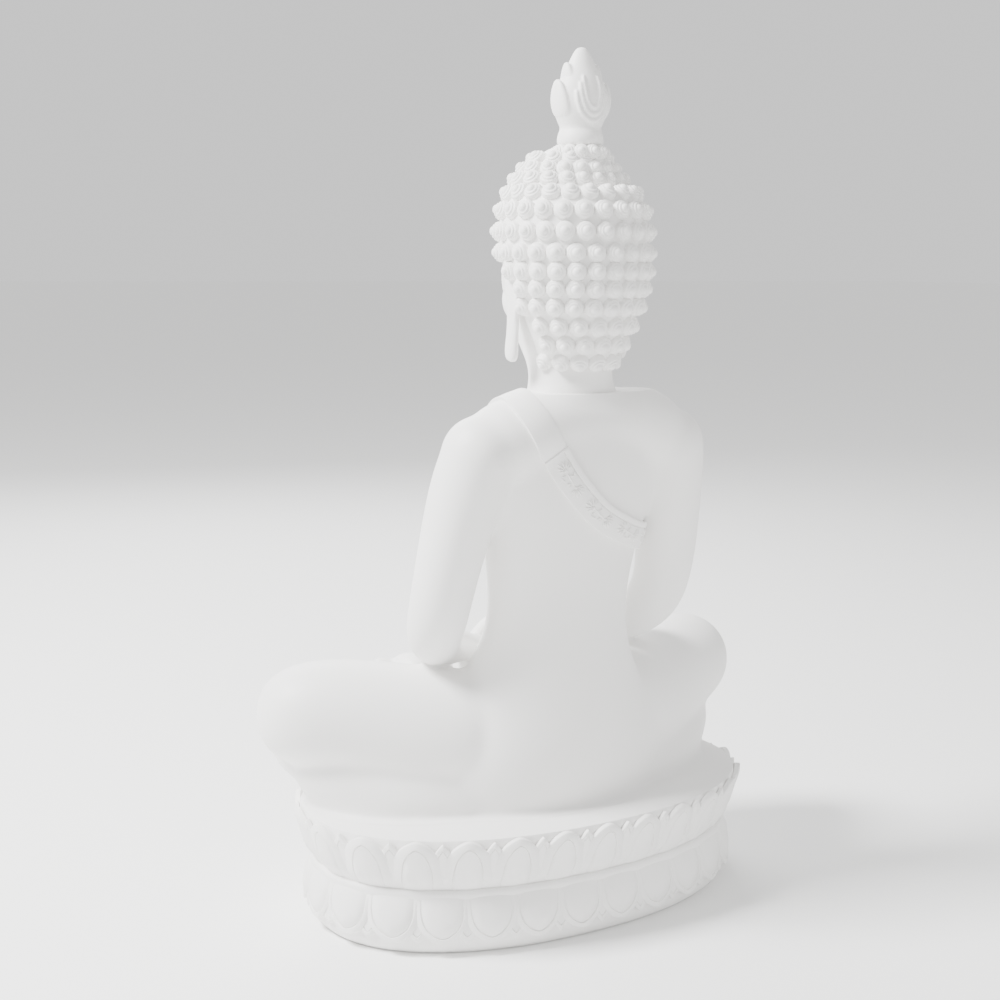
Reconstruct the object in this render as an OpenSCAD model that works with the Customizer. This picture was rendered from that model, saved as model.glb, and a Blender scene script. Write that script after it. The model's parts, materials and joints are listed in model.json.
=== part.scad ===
// Seated statue on an oval lotus base: hollow cast-resin sections, pinned and bonded.
// The figure faces -Y, its left hand is towards +X, and the base stands on Z = 0.

/* [Base] */
// Half width of the base where it stands, along X
base_a = 187; // [150:1:220]
// Half depth of the base where it stands, along Y
base_b = 114; // [95:1:140]
// Squareness of the oval, 2 is a true ellipse
base_n = 2.2; // [2:0.1:2.6]
// Height of the groove between the two petal tiers
groove_z = 53; // [45:1:60]
// Height of the deck that the figure sits on
deck_z = 98; // [90:1:110]
// How far the upper petal tips stand out past the foot
upper_flare = 16; // [8:1:22]
// How far the lower petals bulge out past the foot
lower_flare = 10; // [4:1:14]
// Number of main petals round each tier
petals = 26; // [18:2:32]
// Depth of the scallop between two petals
scallop = 3; // [1:0.5:4]

/* [Castings] */
// Wall of the hollow castings
wall = 7; // [5:0.5:9]
// Thickness of the closed ends that are bonded together
bond_wall = 9; // [6:1:12]
// Opening left through the bonded ends, radius
pour_r = 16; // [10:1:20]

/* [Figure] */
// Height of the joint between legs and torso
waist_z = 232; // [215:1:250]
// Height of the joint between torso and neck
neck_z = 437; // [434:1:440]
// Distance of each knee centre from the middle
knee_x = 186; // [170:1:195]
// Radius of the knee
knee_r = 44; // [38:1:48]
// Distance of each shoulder centre from the middle
shoulder_x = 89; // [84:1:94]
// Radius of the upper arm at the elbow
elbow_r = 25; // [22:1:28]

/* [Robe] */
// Width of the sash over the left shoulder
sash_w = 22; // [16:1:28]
// How far the plain strip stands proud of the skin
strip_proud = 2; // [1:0.5:4]
// How far the ornate band stands proud of the skin
band_proud = 3.5; // [2:0.5:5]

/* [Head] */
// Height of the widest part of the hair
hair_z = 548; // [540:1:556]
// Half width of the hair shell under the curls
hair_a = 60; // [54:1:64]
// Radius of one curl
curl_r = 7; // [5:0.5:8]
// Curls in the fullest row
curls_full_row = 24; // [18:1:28]
// Height of the tip of the flame
tip_z = 700; // [690:1:730]

/* [Fixings] */
// Radius of the steel dowels
dowel_r = 4; // [3:0.5:5]
// Length of the steel dowels between the castings
dowel_l = 36; // [28:2:44]
// Radius of the neck dowel
neck_dowel_r = 6; // [4:0.5:8]
// Length of the neck dowel
neck_dowel_l = 64; // [50:2:80]
// Thickness of the plate that closes the base
plate_t = 4; // [3:0.5:6]
// How far the plate is set up inside the foot of the base
plate_recess = 3; // [2:0.5:5]
// Gap round the plate
plate_gap = 0.5; // [0.2:0.1:1]
// Radius of the plate screws
screw_r = 2; // [1.5:0.5:3]
// Length of the plate screws under the head
screw_l = 14; // [10:1:20]
// Radius of the pads that the base rests on
pad_r = 11; // [8:1:14]

/* [Hidden] */
cast_white = [0.95, 0.95, 0.95];
steel = [0.7, 0.71, 0.73];
eps = 0.01;

// ---- curves and lofts ----
function unit(v) = v / norm(v);
function spline_at(a, b, c, d, t) =
    0.5 * (2 * b + (c - a) * t + (2 * a - 5 * b + 4 * c - d) * t * t
           + (3 * b - 3 * c + d - a) * t * t * t);
function spline(p, steps) = let (n = len(p) - 1)
    [for (i = [0 : n - 1], j = [0 : steps - 1])
        spline_at(p[max(i - 1, 0)], p[i], p[i + 1], p[min(i + 2, n)], j / steps),
     p[n]];
function power(v, e) = sign(v) * pow(abs(v), e);
function oval(t, a, b, n) = [a * power(cos(t), 2 / n), b * power(sin(t), 2 / n)];

// Skin over a stack of rings that all have the same number of points.
module skin(rings) {
    m = len(rings);
    k = len(rings[0]);
    polyhedron(
        points = [for (r = rings, p = r) p],
        faces = concat(
            [[for (j = [0 : k - 1]) j]],
            [[for (j = [k - 1 : -1 : 0]) (m - 1) * k + j]],
            [for (i = [0 : m - 2], j = [0 : k - 1]) [i * k + j, (i + 1) * k + j, i * k + (j + 1) % k]],
            [for (i = [0 : m - 2], j = [0 : k - 1])
                [i * k + (j + 1) % k, (i + 1) * k + j, (i + 1) * k + (j + 1) % k]]),
        convexity = 8);
}

// Upright body: stations of [height, centre y, half width, half depth, squareness].
module upright(stations, grow = 0, sides = 32, steps = 3) {
    skin([for (s = spline(stations, steps))
        [for (j = [0 : sides - 1])
            let (o = oval(360 * j / sides, max(s[2] + grow, 1), max(s[3] + grow, 1), s[4]))
            [o.x, s[1] + o.y, s[0]]]]);
}

// Limb with round ends: stations of [x, y, z, radius across, radius along ref].
module limb(stations, grow = 0, ref = [0, 0, 1], sides = 20, steps = 3) {
    s = spline(stations, steps);
    m = len(s) - 1;
    function centre(i) = [s[i].x, s[i].y, s[i].z];
    function along(i) = unit(centre(min(i + 1, m)) - centre(max(i - 1, 0)));
    function ring(i, slide, shrink) = let (t = along(i), u = unit(cross(t, ref)), v = cross(u, t),
        ra = (s[i][3] + grow) * shrink, rb = (s[i][4] + grow) * shrink)
        [for (j = [0 : sides - 1]) let (a = -360 * j / sides)
            centre(i) + t * slide * (s[i][3] + s[i][4] + 2 * grow) / 2
            + u * ra * cos(a) + v * rb * sin(a)];
    caps = [80, 55, 30];
    skin(concat(
        [for (c = caps) ring(0, -sin(c), cos(c))],
        [for (i = [0 : m]) ring(i, 0, 1)],
        [for (c = [2 : -1 : 0]) ring(m, sin(caps[c]), cos(caps[c]))]));
}

// Joins free-form skins into one surface before anything exact is cut from it.
module joined() resize([0, 0, 0]) union() children();
module both_sides() {
    children();
    mirror([1, 0, 0]) children();
}
module below(z) translate([-300, -300, z - 600]) cube(600);
module above(z) translate([-300, -300, z]) cube(600);
module beyond(x) translate([x, -300, -1]) cube([300, 600, 800]);
module dowel(r, l) cylinder(r = r, h = l, center = true, $fn = 32);

// ---- lotus base ----
oval_table = [for (i = 0, s = 0; i <= 360;
    s = s + norm(oval(i + 2, base_a, base_b, base_n) - oval(i, base_a, base_b, base_n)), i = i + 2) [s, i]];
oval_length = oval_table[len(oval_table) - 1][0];
function oval_angle(f) = lookup(f * oval_length, oval_table);
per_petal = 6;
ring_points = petals * per_petal;
lower_rings = [[0, -1, 0], [3, 3, 0], [11, 7, 0], [14, lower_flare, 1], [24, lower_flare, 1],
               [38, lower_flare - 3, 0.5], [groove_z, 3, 0]];
upper_rings = [[groove_z, 3, 0], [groove_z + 10, 8, 0.5], [groove_z + 26, upper_flare - 4, 1],
               [deck_z - 8, upper_flare, 1], [deck_z - 2.5, upper_flare, 1], [deck_z, upper_flare - 6, 0]];

// Tier of petals: rings of [height, offset from the foot's oval, share of the scallop].
module tier(rings) {
    skin([for (r = rings)
        [for (j = [0 : ring_points - 1])
            let (out = r[1] + scallop * r[2] * (abs(cos(180 * j / per_petal)) - 1),
                 o = oval(oval_angle(j / ring_points), base_a + out, base_b + out, base_n))
            [o.x, o.y, r[0]]]]);
}
module oval_block(z, h, grow) {
    skin([for (zz = [z, z + h]) [for (j = [0 : 71])
        let (o = oval(5 * j, base_a + grow, base_b + grow, base_n)) [o.x, o.y, zz]]]);
}
plate_z = plate_recess;
boss_r = dowel_r + 5;
boss_h = dowel_l / 2 - bond_wall + 4;
base_opening_r = base_b / 2;
tier_pin_x = base_a * 0.66;
tier_pin_y = base_b * 0.4;
screw_x = base_a * 0.78;
screw_y = base_b * 0.38;
screw_boss_r = screw_r + 4;
plate_grow = -wall - plate_gap;
module at_tier_pins() for (x = [-1, 1], y = [-1, 1])
    translate([x * tier_pin_x, y * tier_pin_y, 0]) children();
module at_screws() for (x = [-1, 1], y = [-1, 1]) translate([x * screw_x, y * screw_y, 0]) children();

module lotus_lower() {
    color(cast_white) difference() {
        union() {
            joined() difference() {
                tier(lower_rings);
                oval_block(-1, groove_z - bond_wall + 1, -wall);
                translate([0, 0, groove_z - bond_wall - 1])
                    cylinder(r = base_opening_r, h = bond_wall + 2, $fn = 48);
            }
            at_tier_pins() translate([0, 0, groove_z - bond_wall - boss_h])
                cylinder(r = boss_r, h = boss_h + 1, $fn = 32);
            at_screws() translate([0, 0, plate_z + plate_t])
                cylinder(r = screw_boss_r, h = groove_z - bond_wall - plate_z - plate_t + 1, $fn = 32);
        }
        at_tier_pins() translate([0, 0, groove_z - dowel_l / 2])
            cylinder(r = dowel_r, h = dowel_l, $fn = 32);
        at_screws() translate([0, 0, plate_z])
            cylinder(r = screw_r, h = screw_l + 1, $fn = 24);
    }
}
module lotus_upper() {
    color(cast_white) difference() {
        union() {
            joined() difference() {
                tier(upper_rings);
                oval_block(groove_z + bond_wall, deck_z - groove_z - 2 * bond_wall, -wall);
                translate([0, 0, groove_z - 1]) cylinder(r = base_opening_r, h = deck_z, $fn = 48);
            }
            at_tier_pins() translate([0, 0, groove_z + bond_wall - 1])
                cylinder(r = boss_r, h = boss_h + 1, $fn = 32);
            at_seat_pins() translate([0, 0, deck_z - bond_wall - boss_h])
                cylinder(r = boss_r, h = boss_h + 1, $fn = 32);
        }
        at_tier_pins() translate([0, 0, groove_z - 1]) cylinder(r = dowel_r, h = dowel_l / 2 + 1, $fn = 32);
        at_seat_pins() translate([0, 0, deck_z - dowel_l / 2]) cylinder(r = dowel_r, h = dowel_l, $fn = 32);
    }
}
module bottom_plate() {
    color(cast_white) difference() {
        translate([0, 0, plate_z]) linear_extrude(plate_t) polygon([for (j = [0 : 71])
            oval(5 * j, base_a + plate_grow, base_b + plate_grow, base_n)]);
        at_screws() translate([0, 0, plate_z - 1]) cylinder(r = screw_r, h = plate_t + 2, $fn = 24);
    }
}
module plate_screws() {
    color(steel) at_screws() {
        translate([0, 0, plate_z]) cylinder(r = screw_r, h = screw_l, $fn = 24);
        translate([0, 0, plate_z - screw_r]) cylinder(r = screw_r * 2, h = screw_r, $fn = 24);
    }
}
module foot_pads() {
    color([0.85, 0.85, 0.83]) for (x = [-1, 1], y = [-1, 1])
        translate([x * base_a * 0.58, y * base_b * 0.62, 0]) cylinder(r = pad_r, h = plate_recess, $fn = 32);
}
module tier_dowels() {
    color(steel) at_tier_pins() translate([0, 0, groove_z]) dowel(dowel_r, dowel_l);
}

// ---- figure: shared skins ----
seat_pin_x = base_a * 0.42;
seat_pin_y = base_b * 0.36;
module at_seat_pins() for (x = [-1, 1], y = [-1, 1])
    translate([x * seat_pin_x, y * seat_pin_y, 0]) children();

trunk_stations = [[deck_z - 4, 22, 112, 60, 2.4], [deck_z + 14, 26, 116, 66, 2.3], [140, 30, 114, 68, 2.2],
    [172, 36, 98, 62, 2.1], [205, 43, 76, 52, 2.1], [238, 47, 62, 45, 2.1], [272, 49, 62, 43, 2.1],
    [308, 52, 68, 44, 2.1], [345, 57, 77, 46, 2.2], [375, 63, 81, 45, 2.2], [402, 67, 81, 41, 2.2],
    [419, 69, 73, 37, 2.1], [431, 67, 55, 35, 2.0], [neck_z + 3, 64, 36, 34, 2.0]];
module trunk_skin(grow = 0, fine = true) upright(trunk_stations, grow, fine ? 28 : 16, fine ? 2 : 1);

arm_stations = [[shoulder_x, 74, 390, 31, 32], [shoulder_x + 7, 65, 358, 28, 30],
    [shoulder_x + 14, 56, 312, 24, 26], [shoulder_x + 17, 49, 280, 24, 25],
    [shoulder_x + 18, 38, 250, elbow_r - 1, elbow_r], [shoulder_x + 8, 14, 230, 22, 22],
    [70, -14, 218, 18, 18], [38, -36, 209, 14, 14], [20, -40, 205, 12, 12]];
module yoke_skin(grow = 0) limb([[-shoulder_x, 74, 390, 30, 31], [-shoulder_x / 2, 73, 404, 33, 32],
    [0, 71, 410, 35, 32], [shoulder_x / 2, 73, 404, 33, 32], [shoulder_x, 74, 390, 30, 31]],
    grow, [0, 0, 1], 16, 2);
module arm_skin() limb(arm_stations, 0, [0, 1, 0], 16, 2);

module thigh_skin(grow, fine) limb([[50, 36, 150, 48, 54], [100, 14, 160, 50, 53], [146, -10, 169, 47, 48],
    [knee_x, -28, 174, knee_r, knee_r]], grow, [0, 0, 1], fine ? 18 : 10, fine ? 2 : 1);
module lower_shin_skin(grow, fine) limb([[knee_x, -28, 172, knee_r - 2, knee_r - 2], [146, -62, 144, 38, 40],
    [80, -86, 126, 28, 30], [10, -92, 122, 26, 26], [-60, -92, 118, 22, 22]],
    grow, [0, 0, 1], fine ? 16 : 8, fine ? 2 : 1);
module upper_shin_skin(grow, fine) limb([[-knee_x, -28, 172, knee_r - 2, knee_r - 2],
    [-140, -62, 158, 34, 36],
    [-80, -82, 154, 28, 30], [-20, -90, 164, 24, 24], [30, -88, 178, 19, 17], [74, -80, 187, 22, 13],
    [98, -74, 190, 20, 10]], grow, [0, 0, 1], fine ? 16 : 8, fine ? 2 : 1);
// The legs meet the deck in one rounded lens-shaped foot.
seat_stations = [[deck_z - 4, -8, knee_x - 4, 92, 1.6], [deck_z + 8, -11, knee_x + 10, 90, 1.7],
    [deck_z + 26, -18, knee_x + 22, 74, 1.9], [deck_z + 46, -24, knee_x + 18, 50, 2]];
module seat_skin() upright(seat_stations, 0, 32, 2);
module legs_skin() {
    seat_skin();
    both_sides() thigh_skin(0, true);
    lower_shin_skin(0, true);
    upper_shin_skin(0, true);
    trunk_skin();
}
module legs_cavity() {
    both_sides() thigh_skin(-wall, false);
    trunk_skin(-wall, false);
}
wrist_x = 38;
module palm_skin(z, dir) mirror([dir < 0 ? 1 : 0, 0, 0]) limb([[38, -38, z + 2, 15, 12],
    [14, -42, z, 24, 11], [-10, -44, z - 2, 25, 9], [-34, -46, z, 20, 7], [-50, -47, z + 3, 14, 5]]);
palm_gap_z = 17;
lap_z = 190;
shoulder_cut = 74;
armpit_z = 300;

// ---- figure: castings ----
pour_hip_r = base_opening_r - 6;
neck_y = 64;
waist_pin_x = 34;
waist_y = 47;
shoulder_pin = [shoulder_cut, 66, 376];
module waist_pins() for (x = [-1, 1]) translate([x * waist_pin_x, waist_y, waist_z]) children();
module shoulder_pins() for (x = [-1, 1])
    translate([x * shoulder_pin.x, shoulder_pin.y, shoulder_pin.z]) rotate([0, 90, 0]) children();
wrist_pin_r = dowel_r / 2 + 1;
wrist_pin_l = dowel_l / 2 + 6;
wrist_y = -36;
wrist_z = 209;
module wrist_pin(side)
    translate([side * wrist_x, wrist_y, wrist_z]) rotate([0, 90, 0]) dowel(wrist_pin_r, wrist_pin_l);

module legs() {
    color(cast_white) difference() {
        joined() difference() {
            intersection() {
                legs_skin();
                translate([-300, -300, deck_z]) cube([600, 600, waist_z - deck_z]);
            }
            translate([0, 0, deck_z - 1]) cylinder(r = pour_hip_r, h = bond_wall + 20, $fn = 32);
            translate([0, waist_y, waist_z - bond_wall - 1])
                cylinder(r = pour_r, h = bond_wall + 2, $fn = 24);
            difference() {
                legs_cavity();
                below(deck_z + bond_wall);
                above(waist_z - bond_wall);
                at_seat_pins() translate([0, 0, deck_z]) cylinder(r = boss_r, h = dowel_l / 2 + 4, $fn = 24);
                waist_pins() translate([0, 0, -dowel_l / 2 - 4]) cylinder(r = boss_r, h = dowel_l, $fn = 24);
            }
        }
        at_seat_pins() translate([0, 0, deck_z]) dowel(dowel_r, dowel_l);
        waist_pins() dowel(dowel_r, dowel_l);
    }
}
module torso() {
    color(cast_white) difference() {
        joined() difference() {
            union() {
                intersection() {
                    trunk_skin();
                    translate([-300, -300, waist_z]) cube([600, 600, neck_z - waist_z]);
                }
                intersection() {
                    union() {
                        yoke_skin();
                        both_sides() arm_skin();
                    }
                    translate([-shoulder_cut, -300, armpit_z])
                        cube([2 * shoulder_cut, 600, neck_z - armpit_z]);
                }
            }
            translate([0, waist_y, waist_z - 1]) cylinder(r = pour_r, h = bond_wall + 2, $fn = 24);
            difference() {
                intersection() {
                    trunk_skin(-wall, false);
                    translate([-shoulder_cut + bond_wall, -300, waist_z + bond_wall])
                        cube([2 * (shoulder_cut - bond_wall), 600, neck_z - waist_z - 2 * bond_wall]);
                }
                waist_pins() cylinder(r = boss_r, h = dowel_l / 2 + 4, $fn = 24);
                shoulder_pins() dowel(boss_r, dowel_l + 8);
                translate([0, neck_y, neck_z - neck_dowel_l / 2 - 4])
                    cylinder(r = neck_dowel_r + 5, h = neck_dowel_l, $fn = 24);
            }
        }
        waist_pins() dowel(dowel_r, dowel_l);
        shoulder_pins() dowel(dowel_r, dowel_l);
        translate([0, neck_y, neck_z]) dowel(neck_dowel_r, neck_dowel_l);
    }
}
module arm(side) {
    color(cast_white) difference() {
        joined() difference() {
            mirror([side < 0 ? 1 : 0, 0, 0]) intersection() {
                union() {
                    arm_skin();
                    yoke_skin();
                }
                union() {
                    beyond(shoulder_cut);
                    intersection() {
                        beyond(wrist_x);
                        below(armpit_z);
                    }
                }
            }
            trunk_skin();
            legs_skin();
        }
        shoulder_pins() dowel(dowel_r, dowel_l);
        wrist_pin(side);
    }
}
module arm_left() arm(1);
module arm_right() arm(-1);
module hands() {
    color(cast_white) difference() {
        joined() difference() {
            intersection() {
                union() {
                    palm_skin(lap_z, 1);
                    palm_skin(lap_z + palm_gap_z, -1);
                    intersection() {
                        both_sides() arm_skin();
                        below(armpit_z);
                    }
                }
                translate([-wrist_x, -300, 0]) cube([2 * wrist_x, 600, 600]);
            }
            legs_skin();
        }
        wrist_pin(1);
        wrist_pin(-1);
    }
}
module seat_dowels() {
    color(steel) at_seat_pins() translate([0, 0, deck_z]) dowel(dowel_r, dowel_l);
}
module waist_dowels() {
    color(steel) waist_pins() dowel(dowel_r, dowel_l);
}
module shoulder_dowels() {
    color(steel) shoulder_pins() dowel(dowel_r, dowel_l);
}
module wrist_dowels() {
    color(steel) {
        wrist_pin(1);
        wrist_pin(-1);
    }
}

// ---- head ----
skull_top = hair_z + 56;
head_stations = [[neck_z, 64, 35, 33, 2], [neck_z + 14, 63, 33, 32, 2], [neck_z + 28, 60, 36, 36, 2],
    [480, 56, 43, 45, 2.1], [500, 56, 48, 49, 2.2], [526, 59, 51, 51, 2.2], [552, 62, 50, 50, 2.1],
    [575, 64, 44, 45, 2], [592, 65, 32, 34, 2], [600, 65, 20, 22, 2], [skull_top, 65, 6, 6, 2]];
module head_skin(grow = 0, fine = true) upright(head_stations, grow, fine ? 26 : 14, fine ? 2 : 1);
module nose_skin() upright([[494, 9, 5, 3, 2], [498, 6, 8, 8, 2], [504, 5, 8, 10, 2], [520, 10, 5, 8, 2],
    [538, 15, 3, 4, 2]], 0, 12, 2);
ear_stations = [[47, 58, 467, 5, 7], [49, 60, 478, 6, 9], [50, 62, 500, 4, 10], [52, 63, 520, 5, 14],
    [52, 64, 536, 4, 11], [50, 63, 545, 3, 6]];
module ear_skin() limb(ear_stations, 0, [0, 1, 0], 12, 2);
module hair_window() {
    rotate([90, 0, 90]) linear_extrude(300, center = true) polygon([[-60, neck_z - 1], [66, neck_z - 1],
        [66, neck_z + 20], [70, 478], [68, 512], [52, 534], [34, 552], [14, 560], [-60, 566]]);
}

hair_stations = [[neck_z + 19, 66, 30, 32, 2], [480, 66, 42, 44, 2], [505, 66, 54, 54, 2],
    [528, 66, 59, 57, 2],
    [hair_z, 65, 60, 57, 2], [570, 62, 58, 56, 2], [586, 61, 52, 51, 2], [600, 62, 42, 42, 2],
    [610, 66, 30, 30, 2], [618, 70, 22, 22, 2], [626, 72, 17, 17, 2]];
hair_share = hair_a / 60;
curl_columns = 2 * curls_full_row;
curl_steps = 2;
hair_curve = spline(hair_stations, curl_steps);
// Curls are staggered bumps: every second ring carries one on every second column.
function bump(i, j) = i % 2 == 1 && (j + (i % 4 - 1) / 2) % 2 == 0 ? curl_r : 0;
module hair_skin() skin([for (i = [0 : len(hair_curve) - 1]) let (s = hair_curve[i])
    [for (j = [0 : curl_columns - 1])
        let (g = bump(i, j), o = oval(360 * j / curl_columns, s[2] * hair_share + g, s[3] * hair_share + g, 2))
        [o.x, s[1] + o.y, s[0]]]]);
finial_y = 72;
finial_z = 626;
module head() {
    color(cast_white) difference() {
        joined() union() {
            difference() {
                head_skin();
                intersection() {
                    head_skin(-wall, false);
                    above(neck_z + neck_dowel_l / 2 + bond_wall);
                    below(hair_pin_z - dowel_l / 2 - 4);
                }
                translate([0, neck_y, neck_z]) cylinder(r = neck_dowel_r / 2, h = neck_dowel_l, $fn = 16);
            }
            both_sides() ear_skin();
            nose_skin();
        }
        translate([0, neck_y, neck_z]) dowel(neck_dowel_r, neck_dowel_l);
        translate([0, hair_pin_y, hair_pin_z]) dowel(dowel_r, dowel_l);
    }
}
hair_pin_y = 66;
hair_pin_z = 598;
module hair_cap() {
    color(cast_white) difference() {
        joined() difference() {
            hair_skin();
            hair_window();
            head_skin();
            both_sides() ear_skin();
        }
        translate([0, hair_pin_y, hair_pin_z]) dowel(dowel_r, dowel_l);
        translate([0, finial_y, finial_z]) dowel(dowel_r, dowel_l / 2);
    }
}
module hair_dowel() {
    color(steel) translate([0, hair_pin_y, hair_pin_z]) dowel(dowel_r, dowel_l);
}
module neck_dowel() {
    color(steel) translate([0, neck_y, neck_z]) dowel(neck_dowel_r, neck_dowel_l);
}
// Flame, as [share of its height, half width, half depth].
flame_shape = [[0, 14.5, 14.5], [0.04, 17.5, 17.5], [0.12, 17.5, 17.5], [0.175, 15, 15], [0.27, 17.5, 15],
    [0.43, 22, 18], [0.595, 21.5, 17], [0.73, 17, 13], [0.865, 8, 7], [0.945, 4, 4], [1, 1, 1]];
flame_stations = [for (s = flame_shape) [finial_z + s[0] * (tip_z - finial_z), finial_y, s[1], s[2], 2]];
module flame_finial() {
    color(cast_white) difference() {
        joined() upright(flame_stations, 0, 24, 2);
        translate([0, finial_y, finial_z]) dowel(dowel_r, dowel_l / 2);
    }
}
module finial_peg() {
    color(steel) translate([0, finial_y, finial_z]) dowel(dowel_r, dowel_l / 2);
}

// ---- robe ----
// Middle line of the sash, seen from the back, as points of [x, z].
sash_line = spline([[-104, 318], [-70, 314], [-36, 324], [-4, 341], [22, 366], [42, 394], [55, 420],
    [60, 446]], 3);
hem = 14;
function across(i) = let (d = unit(sash_line[i + 1] - sash_line[i - 1])) [-d.y, d.x];
// Outline of the sash between two points of its middle line.
module sash_outline(first, last) polygon(concat(
    [for (i = [first : last]) sash_line[i] + across(i) * sash_w / 2],
    [for (i = [last : -1 : first]) sash_line[i] - across(i) * sash_w / 2]));
module sash(first, last, proud) joined() difference() {
    intersection() {
        union() {
            trunk_skin(proud);
            yoke_skin(proud);
        }
        rotate([90, 0, 0]) linear_extrude(400, center = true) sash_outline(first, last);
        below(neck_z - eps);
    }
    trunk_skin();
    yoke_skin();
    both_sides() arm_skin();
}
module robe_strip() color(cast_white) sash(hem, len(sash_line) - 2, strip_proud);
module sash_band() color(cast_white) sash(1, hem, band_proud);

lotus_lower();
lotus_upper();
bottom_plate();
plate_screws();
foot_pads();
tier_dowels();
seat_dowels();
legs();
torso();
arm_left();
arm_right();
hands();
waist_dowels();
shoulder_dowels();
wrist_dowels();
neck_dowel();
head();
hair_cap();
hair_dowel();
flame_finial();
finial_peg();
robe_strip();
sash_band();
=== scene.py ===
import bpy
import math
import json
from mathutils import Vector, Matrix
from mathutils.bvhtree import BVHTree

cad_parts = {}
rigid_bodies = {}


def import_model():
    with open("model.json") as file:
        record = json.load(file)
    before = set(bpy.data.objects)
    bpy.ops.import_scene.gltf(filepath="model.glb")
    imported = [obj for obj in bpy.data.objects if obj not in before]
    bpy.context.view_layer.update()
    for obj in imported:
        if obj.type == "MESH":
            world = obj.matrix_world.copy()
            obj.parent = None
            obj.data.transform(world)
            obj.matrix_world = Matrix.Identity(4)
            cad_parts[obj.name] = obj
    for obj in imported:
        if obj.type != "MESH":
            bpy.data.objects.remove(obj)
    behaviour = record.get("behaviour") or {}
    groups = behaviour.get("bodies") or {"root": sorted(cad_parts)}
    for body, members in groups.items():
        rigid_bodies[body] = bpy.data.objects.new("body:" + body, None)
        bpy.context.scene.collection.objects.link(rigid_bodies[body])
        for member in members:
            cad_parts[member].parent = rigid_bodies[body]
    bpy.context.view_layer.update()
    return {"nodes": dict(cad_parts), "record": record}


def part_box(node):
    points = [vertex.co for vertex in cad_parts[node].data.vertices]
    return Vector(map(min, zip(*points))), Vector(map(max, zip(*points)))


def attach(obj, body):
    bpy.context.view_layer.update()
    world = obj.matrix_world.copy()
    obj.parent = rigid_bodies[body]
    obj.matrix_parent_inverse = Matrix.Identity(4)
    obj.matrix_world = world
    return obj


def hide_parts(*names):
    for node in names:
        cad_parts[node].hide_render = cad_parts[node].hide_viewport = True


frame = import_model()
mm = 0.001
mesh = bpy.ops.mesh
ops = bpy.ops.object
print("frame loaded")

# camera: behind the figure's left shoulder, a little above it
cameraSet = {"place": (0.668, 1.0949, 0.5407), "turn": 30.35, "rise": 8.93, "roll": 0.49, "lens": 55.49}
turn, rise = math.radians(cameraSet["turn"]), math.radians(cameraSet["rise"])
backwards = Vector((math.sin(turn) * math.cos(rise), math.cos(turn) * math.cos(rise), math.sin(rise)))
cameraData = bpy.data.cameras.new("camera")
cameraData.lens = cameraSet["lens"]
camera = bpy.data.objects.new("camera", cameraData)
bpy.context.collection.objects.link(camera)
looking = (-backwards).to_track_quat("-Z", "Y").to_matrix().to_4x4()
rolled = Matrix.Rotation(math.radians(cameraSet["roll"]), 4, "Z")
camera.matrix_world = Matrix.Translation(cameraSet["place"]) @ looking @ rolled
bpy.context.scene.camera = camera


# helpers
def pickOnly(*pieces):
    ops.select_all(action="DESELECT")
    for piece in pieces:
        piece.select_set(True)
    bpy.context.view_layer.objects.active = pieces[0]


def settle(piece):  # the place goes into the mesh, the object to the origin
    pickOnly(piece)
    ops.transform_apply(location=True, rotation=True, scale=True)
    return piece


def joined(name, pieces):
    for piece in pieces:
        settle(piece)
    pickOnly(*pieces)
    if len(pieces) > 1:
        ops.join()
    piece = bpy.context.view_layer.objects.active
    piece.name = piece.data.name = name
    return piece


def modified(piece, kind, **settings):
    modifier = piece.modifiers.new(kind.lower(), kind)
    for key, value in settings.items():
        setattr(modifier, key, value)
    pickOnly(piece)
    ops.modifier_apply(modifier=modifier.name)
    return piece


def remeshed(piece, voxel, smooth=0, factor=0.5):
    modified(piece, "REMESH", mode="VOXEL", voxel_size=voxel * mm)
    if smooth:
        modified(piece, "SMOOTH", factor=factor, iterations=smooth)
    return piece


def copied(piece, name):
    twin = piece.copy()
    twin.data = piece.data.copy()
    twin.name = twin.data.name = name
    bpy.context.collection.objects.link(twin)
    return twin


def cutAway(piece, point, normal):  # removes what lies on the normal's side, and closes the cut
    pickOnly(piece)
    ops.mode_set(mode="EDIT")
    mesh.select_all(action="SELECT")
    mesh.bisect(plane_co=[v * mm for v in point], plane_no=normal, clear_outer=True, use_fill=True,
                threshold=1e-6)
    ops.mode_set(mode="OBJECT")
    return piece


def cleaned(piece):  # doubles merged, faces outwards
    pickOnly(piece)
    ops.mode_set(mode="EDIT")
    mesh.select_all(action="SELECT")
    mesh.remove_doubles(threshold=1e-6)
    mesh.normals_make_consistent(inside=False)
    ops.mode_set(mode="OBJECT")
    return piece


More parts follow.
